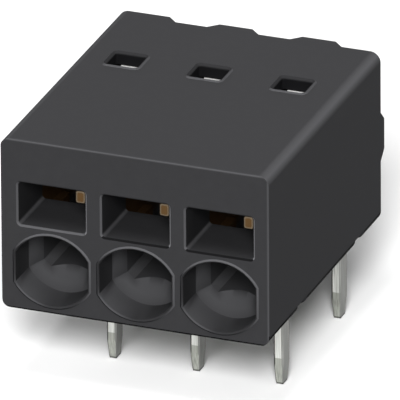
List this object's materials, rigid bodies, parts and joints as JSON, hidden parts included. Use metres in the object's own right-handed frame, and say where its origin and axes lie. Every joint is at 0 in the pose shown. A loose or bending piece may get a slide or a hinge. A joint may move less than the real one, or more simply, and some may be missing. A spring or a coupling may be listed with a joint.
{
  "type": "spring terminal block",
  "caption": "Board-mount spring terminal block: black moulded housing with wire funnels, release slots and test windows, tinned current bars with solder pins, and bent leaf clamp springs.",
  "frame": {"origin": "on the board plane, on the housing's middle plane, midway between the two rows of solder pins", "axes": "+Z away from the board, -Y towards the wire side, X along the row of poles"},
  "size_m": [0.0112, 0.013, 0.0107],
  "materials": {
    "black_plastic": "moulded polyamide, fine satin surface",
    "tinned_copper": "stamped copper sheet, bright tin plating, bare copper on the cut end of the arm",
    "spring_steel": "bright rolled strip"
  },
  "bodies": {
    "housing": {"housing": "black_plastic", "current_bar_1": "tinned_copper", "current_bar_2": "tinned_copper", "current_bar_3": "tinned_copper"},
    "clamp_spring_1": {"clamp_spring_1": "spring_steel"},
    "clamp_spring_2": {"clamp_spring_2": "spring_steel"},
    "clamp_spring_3": {"clamp_spring_3": "spring_steel"}
  },
  "joints": [
    {"name": "clamp_flex_1", "type": "hinge", "parent": "housing", "child": "clamp_spring_1", "pos_m": [-0.00361, -0.00352, 0.00559], "axis": [1, 0, 0], "range_deg": [0, 20], "stiffness_Nm_per_rad": 0.15, "deforming": ["clamp_spring_1"]},
    {"name": "clamp_flex_2", "type": "hinge", "parent": "housing", "child": "clamp_spring_2", "pos_m": [-0.00011, -0.00352, 0.00559], "axis": [1, 0, 0], "range_deg": [0, 20], "stiffness_Nm_per_rad": 0.15, "deforming": ["clamp_spring_2"]},
    {"name": "clamp_flex_3", "type": "hinge", "parent": "housing", "child": "clamp_spring_3", "pos_m": [0.00339, -0.00352, 0.00559], "axis": [1, 0, 0], "range_deg": [0, 20], "stiffness_Nm_per_rad": 0.15, "deforming": ["clamp_spring_3"]}
  ]
}
